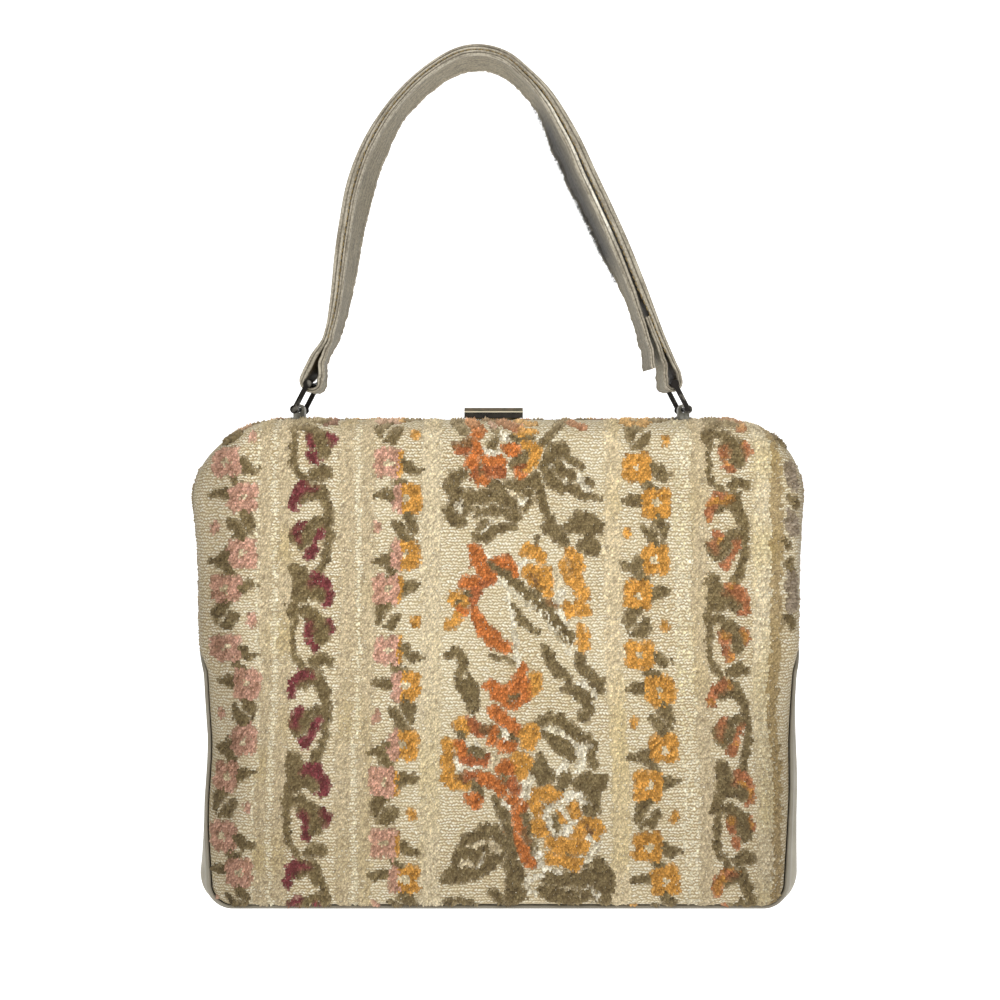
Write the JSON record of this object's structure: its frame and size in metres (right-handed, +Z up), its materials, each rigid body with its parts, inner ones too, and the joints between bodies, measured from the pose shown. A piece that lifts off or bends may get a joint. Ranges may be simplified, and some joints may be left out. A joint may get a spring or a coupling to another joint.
{
  "type": "tapestry frame bag",
  "caption": "Flat-topped handbag of floral woven tapestry on a hinged metal frame, with vinyl gussets, a bar clasp on top and a looped strap handle on metal links.",
  "frame": {"origin": "where the underside of the strap's top rests on a hook, midway across the strap", "axes": "+Z up, +Y to the back of the bag, +X to the right seen from the front"},
  "size_m": [0.3076, 0.071, 0.4317],
  "materials": {
    "tapestry": "cut pile on a ribbed satin ground",
    "gusset_vinyl": "grained bone vinyl",
    "strap_vinyl": "smooth bone vinyl, worn",
    "frame_metal": "dark antique",
    "eyelet_metal": "dull grey",
    "link_metal": "dark gunmetal",
    "clasp_metal": "antique, worn bright at the edge"
  },
  "bodies": {
    "bag": {"tapestry_front": "tapestry", "tapestry_back": "tapestry", "gusset": "gusset_vinyl", "frame_front": "frame_metal", "frame_back": "frame_metal", "frame_rivet_left": "eyelet_metal", "frame_rivet_right": "eyelet_metal", "eyelet_left": "eyelet_metal", "eyelet_right": "eyelet_metal", "link_left": "link_metal", "link_right": "link_metal", "handle_strap": "strap_vinyl", "clasp_base": "clasp_metal", "clasp_catch": "clasp_metal"},
    "lever": {"clasp_lever": "clasp_metal"}
  },
  "joints": [
    {"name": "clasp", "type": "hinge", "parent": "bag", "child": "lever", "pos_m": [0.0076, 0.0004, -0.1766], "axis": [-1, 0, 0], "range_deg": [0, 80]}
  ]
}
